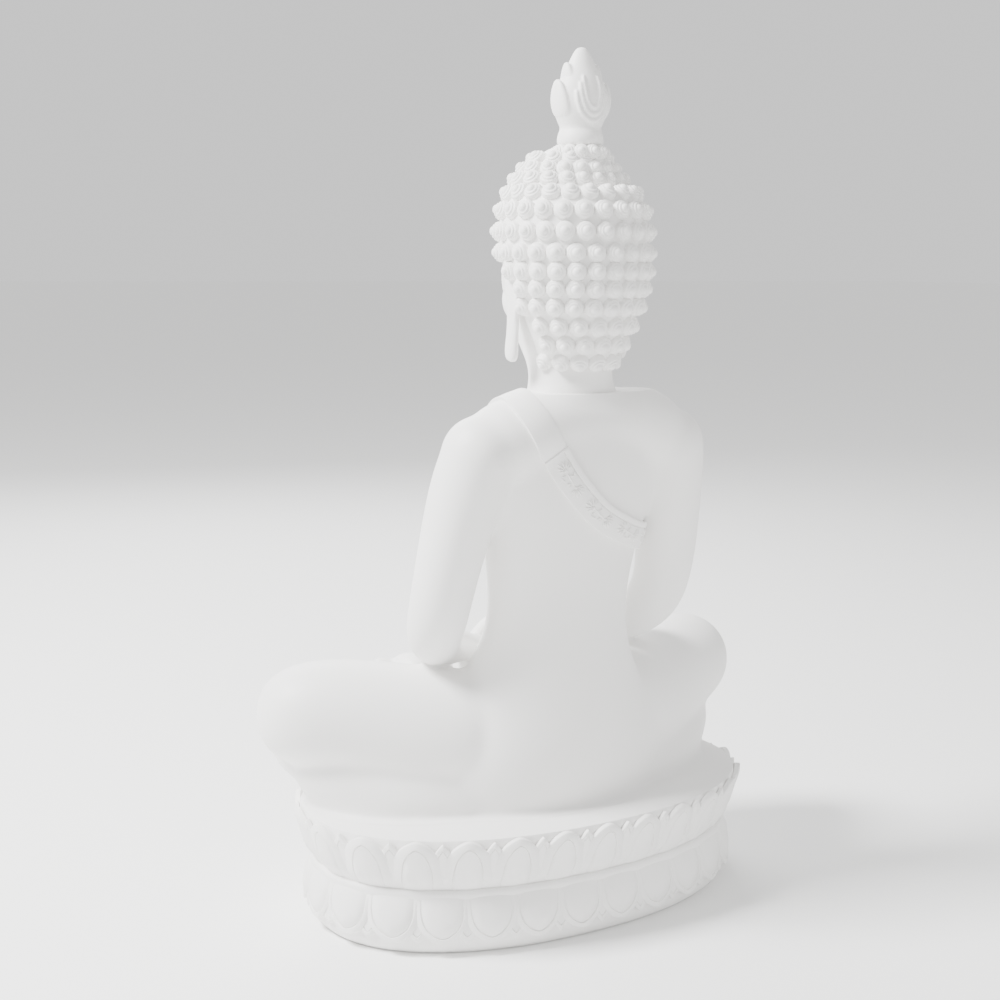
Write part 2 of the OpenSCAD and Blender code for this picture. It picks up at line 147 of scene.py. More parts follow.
# rings of (x, y, z, radius across, radius along), bridged and capped
def tube(name, stations, sides=20, level=2):
    centres = [Vector(s[:3]) * mm for s in stations]
    lengthwise = (centres[-1] - centres[0]).normalized()
    side = lengthwise.cross(Vector((0, 0, 1)) if abs(lengthwise.z) < 0.8 else Vector((0, 1, 0))).normalized()
    rings = []
    for i, s in enumerate(stations):
        along = (centres[min(i + 1, len(stations) - 1)] - centres[max(i - 1, 0)]).normalized()
        across = (side - along * side.dot(along)).normalized()
        up = along.cross(across)
        turned = Matrix((across, up, along)).transposed().to_4x4()
        mesh.primitive_circle_add(vertices=sides, radius=mm)
        ring = bpy.context.object
        ring.matrix_world = Matrix.Translation(centres[i]) @ turned @ Matrix.Diagonal((s[3], s[4], 1, 1))
        rings.append(ring)
    piece = joined(name, rings)
    verts = piece.data.vertices
    firsts = range(0, len(verts), sides)
    middles = [sum((verts[first + v].co for v in range(sides)), Vector()) / sides for first in firsts]
    starts = [min(range(len(middles)), key=lambda k: (middles[k] - centre).length) * sides
              for centre in centres]
    for first, second in zip(starts, starts[1:]):
        selectVerts(piece, set(range(first, first + sides)) | set(range(second, second + sides)))
        ops.mode_set(mode="EDIT")
        mesh.bridge_edge_loops()
        ops.mode_set(mode="OBJECT")
    for first in (starts[0], starts[-1]):
        selectVerts(piece, set(range(first, first + sides)))
        ops.mode_set(mode="EDIT")
        mesh.edge_face_add()
        ops.mode_set(mode="OBJECT")
    cleaned(piece)
    if level:
        modified(piece, "SUBSURF", levels=level, render_levels=level)
    return piece


def selectVerts(piece, chosen):
    pickOnly(piece)
    ops.mode_set(mode="EDIT")
    mesh.select_mode(type="VERT")
    mesh.select_all(action="DESELECT")
    ops.mode_set(mode="OBJECT")
    for vertex in piece.data.vertices:
        vertex.select = vertex.index in chosen


def ball(place, size):  # place and half sizes in mm
    mesh.primitive_uv_sphere_add(segments=32, ring_count=20, radius=mm, location=[v * mm for v in place])
    piece = bpy.context.object
    piece.scale = size
    return settle(piece)


def bothSides(piece):
    twin = copied(piece, piece.name + "Right")
    twin.scale = (-1, 1, 1)
    settle(twin)
    cleaned(twin)
    return [piece, twin]


# the figure's skin
figure = {"voxel": 1.7, "smooth": 80, "shoulderCut": 74, "armpit": 250, "forearmInset": 1.4}
trunkRings = [(0, 22, 88, 112, 60), (0, 26, 112, 116, 66), (0, 30, 140, 114, 68), (0, 36, 172, 98, 62),
              (0, 43, 205, 76, 52), (0, 47, 238, 62, 45), (0, 49, 272, 62, 43), (0, 52, 308, 68, 44),
              (0, 57, 345, 78, 46), (0, 63, 375, 83, 45), (0, 67, 402, 84, 41), (0, 69, 419, 76, 37),
              (0, 67, 431, 56, 35), (0, 64, 440, 36, 34), (0, 63, 452, 33, 32), (0, 63, 470, 34, 33)]
shoulderX = 89
crownY = 72  # the flame and the ruffle of curls stand round this line
armRings = [(shoulderX, 74, 396, 28, 28), (shoulderX + 1, 74, 386, 31, 31), (shoulderX + 8, 65, 358, 29, 31),
            (shoulderX + 15, 56, 312, 26.5, 27.5), (shoulderX + 18, 49, 282, 25, 26),
            (shoulderX + 18.5, 39, 253, 24.5, 25.5),
            (shoulderX + 9, 14, 231, 22, 22), (72, -14, 219, 18, 18), (49, -32, 212, 14.6, 14.5),
            (30, -38, 208, 14, 13),
            (14, -42, 206, 13, 11)]
yokeRings = [(-shoulderX, 74, 391, 30, 31), (-64, 74, 406, 33, 34), (-36, 74, 415, 35, 33),
             (0, 72, 413, 36, 33),
             (36, 74, 410, 35, 33), (64, 74, 401, 33, 33), (shoulderX, 74, 391, 30, 31)]
thighRings = [(40, 40, 150, 48, 54), (100, 14, 157, 51, 53), (146, -10, 168, 48, 49),
              (178, -25, 172, 46.5, 46.5),
              (203, -34, 173, 41.5, 41.5), (221, -40, 173, 29, 29), (229, -43, 173, 12, 12)]
lowerShinRings = [(196, -26, 160, 45, 45), (180, -34, 158, 47, 47), (146, -62, 144, 38, 40),
                  (80, -86, 126, 28, 30), (10, -92, 122, 26, 26),
                  (-50, -92, 118, 21, 21), (-82, -88, 113, 19, 17), (-104, -83, 110, 18, 14),
                  (-118, -80, 108, 16, 11)]
upperShinRings = [(-197, -24, 160, 46, 46), (-181, -32, 158, 48, 48), (-140, -62, 158, 34, 36),
                  (-80, -82, 154, 28, 30), (-20, -90, 164, 24, 24),
                  (10, -91, 171, 20, 19), (30, -90, 177, 21, 16), (50, -87, 182, 20, 13),
                  (68, -84, 185, 20.5, 11.5),
              (80, -81, 187, 20, 9)]
seatRings = [(0, -8, 90, 182, 92), (0, -8, 98, 184, 92), (0, -11, 106, 196, 88), (0, -18, 124, 208, 72),
             (0, -24, 146, 204, 50)]


trunk = tube("trunk", trunkRings, 32)
arms = bothSides(tube("arm", armRings))
shoulders = bothSides(ball((shoulderX - 1, 74, 391), (31, 31, 31)))
yoke = tube("yoke", yokeRings)
chest = bothSides(ball((36, 34, 374), (42, 14.5, 32)))
belly = [ball((0, 20, 258), (38, 17, 36))]
thighs = bothSides(tube("thigh", thighRings, 24))
toeSizes = [(-98, 94, 7), (-86.5, 92, 5), (-77.5, 89.5, 4.7), (-69, 86.5, 4.4), (-61.5, 83, 4.1)]
toes = []
for y, reach, thick in toeSizes:  # big toe first: its place, how far it reaches, its thickness
    toes.append(tube("toe", [(68, y * 0.9 - 8, 182, thick, thick),
                             (reach - 9, y, 184, thick * 0.9, thick * 0.9),
                             (reach - 2, y, 185, thick, thick),
                             (reach + 4, y, 185.5, thick * 0.6, thick * 0.6)], 12))
lowerShin = tube("lowerShin", lowerShinRings)
upperShin = tube("upperShin", upperShinRings)
seat = tube("seat", seatRings, 32)
mesh.primitive_cylinder_add(vertices=64, radius=0.15, depth=4 * mm, location=(0, 0, 96 * mm))
deckDisc = bpy.context.object
deckDisc.scale = (1.35, 0.85, 1)
print("limbs built")

legsTrunk = copied(trunk, "legsTrunk")
legsArms = bothSides(tube("legsArm", [(x, y, z, a - figure["forearmInset"], b - figure["forearmInset"])
                                       for x, y, z, a, b in armRings]))
robeForm = joined("robeForm", [copied(piece, "form") for piece in [trunk, yoke, arms[0]] + chest + shoulders])
remeshed(robeForm, figure["voxel"], figure["smooth"])
upper = joined("upperBody", [trunk, yoke] + arms + shoulders + chest + belly)
remeshed(upper, figure["voxel"], figure["smooth"])
lower = joined("lowerBody", [legsTrunk, lowerShin, upperShin, seat, deckDisc] + thighs + legsArms)
remeshed(lower, figure["voxel"], figure["smooth"])
lower = remeshed(joined("lowerBody", [lower] + toes), figure["voxel"] - 0.2, 6)
print("skins joined", len(upper.data.polygons), len(lower.data.polygons))

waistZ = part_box("torso")[0][2] / mm
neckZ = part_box("torso")[1][2] / mm
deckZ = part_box("lotus_upper")[1][2] / mm
shoulderCut = figure["shoulderCut"]
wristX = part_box("arm_left")[0][0] / mm


def keptLinked(piece, place):  # keeps the part whose surface is nearest to a place
    nearest = min(piece.data.vertices, key=lambda v: (v.co - Vector(place) * mm).length).index
    selectVerts(piece, {nearest})
    ops.mode_set(mode="EDIT")
    mesh.select_linked()
    mesh.select_all(action="INVERT")
    mesh.delete(type="VERT")
    ops.mode_set(mode="OBJECT")
    return piece


def cutUpper(piece, x, inwards):  # the same cut, only above the armpits, where arm and chest meet
    selectVerts(piece, {v.index for v in piece.data.vertices if v.co.z > figure["armpit"] * mm})
    ops.mode_set(mode="EDIT")
    mesh.bisect(plane_co=(x * mm, 0, 0), plane_no=(math.copysign(1, x), 0, 0), clear_outer=inwards,
                clear_inner=not inwards, use_fill=True, threshold=1e-6)
    ops.mode_set(mode="OBJECT")
    return piece


torso = copied(upper, "torsoSkin")
cutUpper(torso, shoulderCut, True)
cutUpper(torso, -shoulderCut, True)
keptLinked(torso, (0, 20, 330))
cutAway(torso, (0, 0, waistZ), (0, 0, -1))
cutAway(torso, (0, 0, neckZ), (0, 0, 1))
armLeft = copied(upper, "armLeftSkin")
cutUpper(armLeft, shoulderCut, False)
keptLinked(armLeft, (130, 50, 280))
cutAway(armLeft, (wristX, 0, 0), (-1, 0, 0))
armRight = copied(upper, "armRightSkin")
cutUpper(armRight, -shoulderCut, False)
keptLinked(armRight, (-130, 50, 280))
cutAway(armRight, (-wristX, 0, 0), (1, 0, 0))
legs = copied(lower, "legsSkin")
cutAway(legs, (0, 0, waistZ), (0, 0, 1))
cutAway(legs, (0, 0, deckZ + 0.1), (0, 0, -1))
for skin in (upper, lower):
    bpy.data.objects.remove(skin)
print("castings cut", len(torso.data.polygons), len(armLeft.data.polygons), len(legs.data.polygons))


def softened(piece, degrees=35):
    pickOnly(piece)
    ops.shade_smooth_by_angle(angle=math.radians(degrees))
    return piece


def between(table, x):  # straight-line reading of a table of (x, value) pairs
    for (x0, y0), (x1, y1) in zip(table, table[1:]):
        if x <= x1:
            return y0 + (y1 - y0) * (x - x0) / (x1 - x0)
    return table[-1][1]


# a turned form on +Z from (radius, height) pairs, the last one its tip
def turnedProfile(name, profile, sides=12):
    rings = []
    for radius, height in profile[:-1]:
        mesh.primitive_circle_add(vertices=sides, radius=radius * mm, location=(0, 0, height * mm))
        rings.append(bpy.context.object)
    piece = joined(name, rings)
    heights = [height for radius, height in profile[:-1]]
    middles = [piece.data.vertices[first].co.z / mm for first in range(0, len(piece.data.vertices), sides)]
    starts = [min(range(len(middles)), key=lambda k: abs(middles[k] - height)) * sides for height in heights]
    for first, second in zip(starts, starts[1:]):
        selectVerts(piece, set(range(first, first + sides)) | set(range(second, second + sides)))
        ops.mode_set(mode="EDIT")
        mesh.bridge_edge_loops()
        ops.mode_set(mode="OBJECT")
    for first, tip in ((starts[0], False), (starts[-1], True)):
        selectVerts(piece, set(range(first, first + sides)))
        ops.mode_set(mode="EDIT")
        mesh.edge_face_add()
        if tip:
            mesh.poke()
        ops.mode_set(mode="OBJECT")
    top = max(piece.data.vertices, key=lambda v: v.co.z - (v.co.x ** 2 + v.co.y ** 2) ** 0.5)
    top.co.z = profile[-1][1] * mm
    return cleaned(piece)


# lotus base: two smooth oval tiers, each with a ring of petals laid on
lotus = {"lift": 1.35, "petals": 26, "hangZ": 51, "riseZ": 52, "squareness": 2.2, "flare": 10, "steps": 720}
lowerBox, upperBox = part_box("lotus_lower"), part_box("lotus_upper")
grooveZ = upperBox[0][2] / mm
baseA = lowerBox[1][0] / mm - lotus["flare"]
baseB = lowerBox[1][1] / mm - lotus["flare"]


def ovalPlace(angle):
    c, s, power = math.cos(angle), math.sin(angle), 2 / lotus["squareness"]
    return Vector((baseA * math.copysign(abs(c) ** power, c), baseB * math.copysign(abs(s) ** power, s), 0))


ovalRun = [ovalPlace(2 * math.pi * k / lotus["steps"]) for k in range(lotus["steps"])]
ovalSums = [0]
for k in range(lotus["steps"]):
    ovalSums.append(ovalSums[-1] + (ovalRun[(k + 1) % lotus["steps"]] - ovalRun[k]).length)


def ovalAt(share, z, offset):  # the place a share of the way round, moved out square to the oval, in mm
    length = (share % 1) * ovalSums[-1]
    k = min(sum(1 for total in ovalSums[::40] if total <= length) * 40 - 40, lotus["steps"] - 1)
    while ovalSums[k + 1] < length:
        k += 1
    here, ahead = ovalRun[k], ovalRun[(k + 1) % lotus["steps"]]
    part = (length - ovalSums[k]) / (ovalSums[k + 1] - ovalSums[k])
    before, after = ovalRun[k - 3], ovalRun[(k + 4) % lotus["steps"]]
    along = (after - before).normalized()
    return here.lerp(ahead, part) + Vector((along.y, -along.x, 0)) * offset + Vector((0, 0, z))


def ovalBody(name, profile, sides=240):  # stacked oval rings of (height, offset)
    rings = []
    for z, offset in profile:
        mesh.primitive_circle_add(vertices=sides, radius=mm)
        ring = bpy.context.object
        for k, vertex in enumerate(ring.data.vertices):
            vertex.co = ovalAt(k / sides, z, offset) * mm
        rings.append(ring)
    piece = joined(name, rings)
    for first, second in zip(range(len(profile)), range(1, len(profile))):
        low, high = (ringStart(piece, profile[k], sides) for k in (first, second))
        selectVerts(piece, set(range(low, low + sides)) | set(range(high, high + sides)))
        ops.mode_set(mode="EDIT")
        mesh.bridge_edge_loops()
        ops.mode_set(mode="OBJECT")
    for end in (profile[0], profile[-1]):
        low = ringStart(piece, end, sides)
        selectVerts(piece, set(range(low, low + sides)))
        ops.mode_set(mode="EDIT")
        mesh.edge_face_add()
        ops.mode_set(mode="OBJECT")
    return cleaned(piece)


def ringStart(piece, station, sides):
    wanted = ovalAt(0, *station) * mm
    return min(range(0, len(piece.data.vertices), sides),
               key=lambda k: (piece.data.vertices[k].co - wanted).length)


# an arch in XY, its foot at Y = 0; steps are (half width, height, relief)
def flatPetal(name, fullness, point, steps, sides=36):
    mesh.primitive_circle_add(vertices=sides, radius=mm, fill_type="NGON")
    piece = bpy.context.object
    piece.name = piece.data.name = name
    width, height, relief = steps[0]
    for k, vertex in enumerate(piece.data.vertices):
        angle = 2 * math.pi * k / sides
        across, rise = math.sin(angle), (0.55 - math.cos(angle)) / 1.55
        if rise > 0:
            across = math.copysign((1 - rise ** fullness) ** (1 / point), across) if abs(across) > 1e-6 else 0
        vertex.co = Vector((width * across / (1 if rise > 0 else 0.84), height * max(rise, 0), relief)) * mm
    pickOnly(piece)
    ops.mode_set(mode="EDIT")
    mesh.select_all(action="SELECT")
    mesh.normals_make_consistent(inside=False)
    for before, after in zip(steps, steps[1:]):
        lifted = (after[2] - before[2]) * lotus["lift"] * mm
        mesh.extrude_region_move(TRANSFORM_OT_translate={"value": (0, 0, lifted)})
        bpy.ops.transform.resize(value=(after[0] / before[0], after[1] / before[1], 1),
                                 center_override=(0, 0, 0))
    mesh.poke()
    ops.mode_set(mode="OBJECT")
    return piece


def laidRound(petal, name, profile, shift, count, baseZ, way):  # copies of a flat petal, bent on to the tier
    pieces = []
    pitch = ovalSums[-1] / count
    for number in range(count):
        twin = copied(petal, name + str(number))
        for vertex in twin.data.vertices:
            u, v, w = vertex.co / mm
            z = baseZ + way * v
            relief = (w + 1.4 * (1 - min(abs(u) / (pitch / 2), 1) ** 2)) * (0.25 + 0.75 * min(v / 13, 1))
            vertex.co = ovalAt((number + shift + way * u / pitch) / count, z,
                               between(profile, z) + relief) * mm
        pieces.append(twin)
    bpy.data.objects.remove(petal)
    return pieces


# lower tier: petals hang down, a raised rim round each, second points between them
lowerSurface = [(-5, 5.6), (10, 6.2), (14, 6.6), (26, 6.6), (38, 5), (50, 2.8), (60, 2)]
lowerMain = flatPetal("petal", 3.8, 1.45, [(20.6, 39.5, -1.5), (20.6, 39.5, 1.5), (20.1, 39, 2),
                                           (16.8, 35.4, 2.1), (16.2, 34.8, 1.2),
                                     (15.4, 34, 1.9), (10, 24, 2.6), (4, 10, 2.7)])
lowerSecond = flatPetal("petal", 2.6, 1.3, [(13, 38.5, -1.5), (13, 38.5, 0.5), (12.5, 38, 0.9),
                                            (9.4, 34.4, 1), (8.9, 33.8, 0.2),
                                        (8.2, 33, 0.8), (4, 16, 1)])
lotusLower = joined("lotusLower", [ovalBody("tier",
                                            [(0, -1), (1.2, 0.6), (4, 3.6), (8, 5.6), (11, 6.3), (14, 6.4),
                                             (25, 6.2),
                                                     (38, 5), (45, 5), (49, 5.6), (51.4, 5.2), (52.7, 4),
                                                     (53, 2.6)])]
                    + laidRound(lowerMain, "hanging", lowerSurface, 0.0, lotus["petals"], lotus["hangZ"], -1)
                    + laidRound(lowerSecond, "hangingSecond", lowerSurface, 0.5, lotus["petals"],
                                lotus["hangZ"], -1))
# upper tier: petals open upwards, an incised leaf in each
upperSurface = [(45, 0.2), (53, 0.6), (63, 4.6), (79, 9.4), (90, 13.4), (98, 15)]
upperMain = flatPetal("petal", 3.0, 1.6, [(20.6, 45.6, -1.5), (20.6, 45.6, 1.3), (20, 45, 1.8),
                                          (12, 40.2, 2.4), (11.5, 39.6, 1.5),
                                     (10.9, 38.8, 2.3), (7, 28, 2.9), (3, 12, 3)])
upperSecond = flatPetal("petal", 2.3, 1.2, [(13, 43.6, -1.5), (13, 43.6, 0.4), (12.5, 43, 0.8), (9, 39, 1),
                                            (8.5, 38.4, 0.2),
                                       (7.9, 37.6, 0.8), (4, 18, 1)])
lotusUpper = joined("lotusUpper", [ovalBody("tier",
                                            [(53, 0.5), (63, 4.4), (79, 9), (90, 12.8), (94.5, 13.4),
                                             (97, 12.4),
                                                     (98, 9)])]
                    + laidRound(upperMain, "rising", upperSurface, 0.5, lotus["petals"], lotus["riseZ"], 1)
                    + laidRound(upperSecond, "risingSecond", upperSurface, 0.0, lotus["petals"],
                                lotus["riseZ"], 1))
print("lotus tiers laid")

# head
headSkin = {"voxel": 0.95, "smooth": 11}
skullRings = [(0, 66, 425, 45, 35), (0, 64, 437, 35.5, 33.5), (0, 63, 451, 33, 32), (0, 61, 465, 35, 35),
              (0, 58, 480, 41, 42), (0, 56, 500, 46, 47), (0, 58, 526, 49, 49), (0, 61, 552, 49, 49),
              (0, 64, 575, 44, 45), (0, 65, 592, 32, 34), (0, 65, 602, 14, 16)]
skull = tube("skull", skullRings, 32)
face = bothSides(ball((21, 27, 508), (20, 16, 22))) + bothSides(ball((13, 23, 484), (14, 11, 13)))
face += [ball((0, 20, 475), (13, 12, 10)), ball((0, 18, 493), (17, 12, 16)), ball((0, 26, 545), (30, 18, 16))]
head = remeshed(joined("headForm", [skull] + face), 1.6, 40)
features = [tube("nose", [(0, 14, 545, 6, 5), (0, 9, 536, 4.6, 5), (0, 6, 526, 4.4, 5.4),
                          (0, 3.2, 516, 4.8, 6),
                          (0, 1.4, 508, 6, 6.4), (0, 6, 502, 5, 5)], 16),
                          ball((0, 9.4, 552), (2.6, 1.8, 2.6))]
features += [ball((0, 13, 521), (8.4, 9, 19))] + bothSides(ball((6.2, 8, 506), (4.4, 5.4, 4)))
features += bothSides(tube("brow", [(4.6, 11.4, 534, 2.4, 2.4), (10, 11, 540.5, 2.6, 2.6),
                                    (20, 13.4, 545.5, 2.6, 2.6),
                                    (30, 18.8, 544, 2.4, 2.4), (39, 27, 537, 2, 2)], 12))
features += bothSides(ball((19.5, 19.4, 527.5), (11, 9.4, 8)))
features += bothSides(tube("upperLid", [(8.2, 15.4, 524.6, 1.1, 1.1), (13, 12.2, 525, 1.5, 1.5),
                                        (19.5, 10.8, 523.8, 1.6, 1.6),
                                        (26, 13.2, 524.8, 1.5, 1.5), (31.4, 18, 527, 1, 1)], 10))
features += bothSides(tube("lowerLid", [(10, 16, 522.4, 0.9, 0.9), (14, 13.6, 520.8, 1.1, 1.1),
                                        (19.5, 12.6, 519.8, 1.2, 1.2),
                                        (25.5, 14.6, 521, 1.1, 1.1), (29.4, 17.6, 524, 0.8, 0.8)], 10))
lips = [(-14, 14.2, 491.6, 0.8, 0.9), (-9, 9.4, 491.4, 2.2, 1.8), (-4.2, 6.6, 492.6, 3, 2.3),
        (0, 6.2, 491.4, 2.8, 2),
        (4.2, 6.6, 492.6, 3, 2.3), (9, 9.4, 491.4, 2.2, 1.8), (14, 14.2, 491.6, 0.8, 0.9)]
lowerLips = [(-12.6, 13.6, 490.4, 0.8, 0.8), (-8, 9.6, 487.8, 2.4, 2), (-3.6, 7.6, 486.4, 3, 2.7),
             (0, 7.2, 486.2, 3.1, 2.8),
             (3.6, 7.6, 486.4, 3, 2.7), (8, 9.6, 487.8, 2.4, 2), (12.6, 13.6, 490.4, 0.8, 0.8)]
features += [tube("upperLip", lips, 12), tube("lowerLip", lowerLips, 12)]
ears = bothSides(tube("ear", [(50.5, 56, 460, 3.6, 6.6), (51.5, 57.5, 468, 4.6, 8.6), (52, 60, 482, 3.4, 7.4),
                              (52.6, 62, 502, 3, 8.4), (53.6, 63, 521, 3.2, 12), (53.4, 64, 536, 3, 11.5),
                              (51.4, 63.5, 546, 2.4, 6)], 16))
ears += bothSides(tube("earRim", [(54, 52, 511, 1.8, 1.8), (55.8, 50.6, 525, 2, 2), (56, 54.5, 540, 2.1, 2.1),
                                  (54.6, 63, 547.5, 2.2, 2.2), (56, 72, 541, 2.1, 2.1),
                                  (56.4, 74.6, 528, 2, 2),
                                  (55, 71.5, 512, 1.8, 1.8), (53.6, 66.6, 495, 1.8, 1.8),
                                  (52.6, 63, 479, 2, 2)], 10))
ears += bothSides(tube("earRoot", [(48, 66, 504, 4, 6), (49, 66, 524, 5, 10), (47, 65, 540, 4, 8)], 12))
head = remeshed(joined("head", [head] + features + ears), headSkin["voxel"], headSkin["smooth"])
cutAway(head, (0, 0, neckZ), (0, 0, -1))
print("head shaped", len(head.data.polygons))

# hair: a smooth shell open at the face, curls standing in rows
hair = {"pitch": 15.2, "inset": 0.4, "edgeGap": 1.5, "ruffle": 12, "ruffleReach": 16.5, "ruffleZ": 617,
        "rows": [(461, 0), (475, 1), (489, 0), (504, 0), (518, 1), (531, 0), (545, 0),
                                                (561, 1), (577, 0), (590, 1), (600, 0), (608, 1), (616, 0)]}
hairEdge = [(436, 66), (457, 66), (478, 70), (512, 68), (534, 52), (552, 34), (560, 14), (566, -60)]
hairRings = [(456, 66, 28, 31), (462, 66, 33, 36), (480, 66, 42, 44), (505, 66, 53, 54), (528, 66, 59, 57.5),
             (548, 65, 60.5, 58), (570, 63, 59.5, 57.5), (586, 62, 54, 53), (600, 62, 44, 44),
             (610, 66, 33, 33),
             (617, 70, 25, 25), (623, 72, 17, 17)]
shell = tube("hairShell", [(0, y, z, a - hair["inset"], b - hair["inset"]) for z, y, a, b in hairRings], 40)
mesh.primitive_circle_add(vertices=len(hairEdge) + 1, radius=mm, fill_type="NGON")
window = bpy.context.object
for vertex, (z, y) in zip(window.data.vertices, hairEdge + [(436, -60)]):
    vertex.co = (-90 * mm, y * mm, z * mm)
pickOnly(window)
ops.mode_set(mode="EDIT")
mesh.select_all(action="SELECT")
mesh.extrude_region_move(TRANSFORM_OT_translate={"value": (180 * mm, 0, 0)})
ops.mode_set(mode="OBJECT")
cleaned(window)
modified(shell, "BOOLEAN", operation="DIFFERENCE", object=window, solver="EXACT")
bpy.data.objects.remove(window)
remeshed(shell, 1.3, 6)
curl = turnedProfile("curl", [(6.6, -5), (7.7, -0.6), (7.7, 1.8), (6.7, 4.2), (5.3, 4.9), (5.0, 5.9),
                              (3.5, 6.4),
                              (3.0, 7.4), (1.8, 8.2), (0, 8.5)])
shellFaces = BVHTree.FromObject(shell, bpy.context.evaluated_depsgraph_get())


def hairSpan(z):  # middle and half widths of the hair at a height
    return [between([(ring[0], ring[k]) for ring in hairRings], z) for k in (1, 2, 3)]


curls = []
for z, half in hair["rows"]:
    middle, a, b = hairSpan(z)
    count = round(2 * math.pi * math.sqrt((a * a + b * b) / 2) / hair["pitch"])
    for k in range(count):
        angle = 2 * math.pi * (k + half / 2) / count
        outward = Vector((a * math.sin(angle), -b * math.cos(angle), 0))
        start = Vector((0, middle, z)) + outward * 2
        place, normal = shellFaces.ray_cast(start * mm, -outward.normalized())[:2]
        if place is None or place.y / mm < between(hairEdge, place.z / mm) + hair["edgeGap"]:
            continue
        twin = copied(curl, "curl" + str(len(curls)))
        standing = normal.to_track_quat("Z", "Y").to_matrix().to_4x4()
        twin.matrix_world = (Matrix.Translation(place - normal * mm) @ standing
                             @ Matrix.Rotation(0.7 * k, 4, "Z"))
        curls.append(twin)
for k in range(hair["ruffle"]):  # the ruffle under the finial
    angle = 2 * math.pi * k / hair["ruffle"]
    outward = Vector((math.sin(angle), -math.cos(angle), 0.25)).normalized()
    twin = copied(curl, "ruffle" + str(k))
    place = (Vector((0, crownY, hair["ruffleZ"])) + outward * hair["ruffleReach"]) * mm
    standing = outward.to_track_quat("Z", "Y").to_matrix().to_4x4()
    twin.matrix_world = Matrix.Translation(place) @ standing @ Matrix.Diagonal((0.82, 0.82, 0.9, 1))
    curls.append(twin)
bpy.data.objects.remove(curl)
hairCap = joined("hairCap", [shell] + curls)
print("curls set", len(curls))

# flame finial: bulb, tongues that step up to the middle one, and folds that sweep round its front and back
flame = {"fuller": 1.2, "voxel": 0.75, "smooth": 5}
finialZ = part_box("flame_finial")[0][2] / mm
bulbRings = [(-1, 16, 15), (3, 17.5, 17), (9, 16.6, 16.6), (12.5, 14.8, 14.5), (15, 15, 14.5), (22, 19.4, 17),
             (32, 21.6, 18),
             (42, 20, 16.5), (50, 16.5, 13.5), (58, 11.5, 9.5), (66, 7.6, 6.4), (71, 5, 4), (74.6, 2, 1.8)]
bulb = tube("bulb", [(0, crownY, finialZ + h, a + flame["fuller"], b + flame["fuller"]) for h, a,
                     b in bulbRings], 28)
sideTongues = bothSides(tube("tongue", [(14, crownY, finialZ + 20, 6, 12),
                                        (18.8, crownY, finialZ + 32, 6, 12.5),
                                        (20.6, crownY, finialZ + 42, 4, 9),
                                        (21.6, crownY, finialZ + 50, 1.6, 3.4)], 16))
sideTongues += bothSides(tube("tongue", [(8, crownY, finialZ + 34, 7, 13),
                                         (11.8, crownY, finialZ + 48, 5, 10),
                                         (13, crownY, finialZ + 57, 3.4, 6.4),
                                         (13.6, crownY, finialZ + 63, 1.4, 2.6)], 16))
bulbFaces = BVHTree.FromObject(bulb, bpy.context.evaluated_depsgraph_get())
folds = []
for back in (1, -1):
    for reach, top, bottom, thick in ((18, 44, 17, 1.9), (13.5, 52, 22.5, 1.7), (9.5, 58, 28, 1.5)):
        stations = []
        for k in range(-8, 9):
            across = reach * math.sin(math.pi / 2 * k / 8)
            rise = bottom + (top - bottom) * (1 - math.cos(math.pi / 2 * k / 8)) ** 1.1
            place = bulbFaces.find_nearest(Vector((across, crownY + back * 22, finialZ + rise)) * mm)[0] / mm
            stations.append((place.x, place.y, place.z, thick, thick))
        folds.append(tube("fold", stations, 10, 1))
finial = remeshed(joined("finial", [bulb] + sideTongues + folds), flame["voxel"], flame["smooth"])
cutAway(finial, (0, 0, finialZ), (0, 0, -1))
print("finial shaped", len(finial.data.polygons))

# robe: a plain strip over the left shoulder, its hem, and an ornate band that runs on round the right side
robe = {"width": 22, "hem": 0.148, "tail": 0.79, "bandProud": 3.6, "stripProud": 2.6, "pitch": 40,
        "steps": 240}
robeGuide = [(60, 74, 440), (58, 92, 424), (50, 104, 408), (41, 108, 393), (22, 110, 366), (-4, 108, 341),
             (-36, 106, 324),
             (-62, 88, 316), (-72, 56, 314), (-62, 24, 316), (-36, 12, 324), (-4, 6, 341), (22, 6, 366),
             (41, 16, 393),
             (50, 30, 408), (57, 50, 424)]
trunkFaces = BVHTree.FromObject(robeForm, bpy.context.evaluated_depsgraph_get())
bpy.data.objects.remove(robeForm)


def curvePoint(points, share):  # a smooth closed run through the guide points
    n = len(points)
    k, t = int(share * n) % n, share * n % 1
    p0, p1, p2, p3 = (Vector(points[(k + d) % n]) for d in (-1, 0, 1, 2))
    return 0.5 * (2 * p1 + (p2 - p0) * t + (2 * p0 - 5 * p1 + 4 * p2 - p3) * t ** 2
                  + (3 * p1 - p0 - 3 * p2 + p3) * t ** 3)


steps = robe["steps"]
run = [trunkFaces.find_nearest(curvePoint(robeGuide, k / steps) * mm)[0] / mm for k in range(steps)]
for turn in range(4):  # evens out small jumps between neighbouring places
    run = [(run[k - 1] + run[k] * 2 + run[(k + 1) % steps]) / 4 for k in range(steps)]
runSums = [0]
for k in range(steps):
    runSums.append(runSums[-1] + (run[(k + 1) % steps] - run[k]).length)
robeLength = runSums[-1]


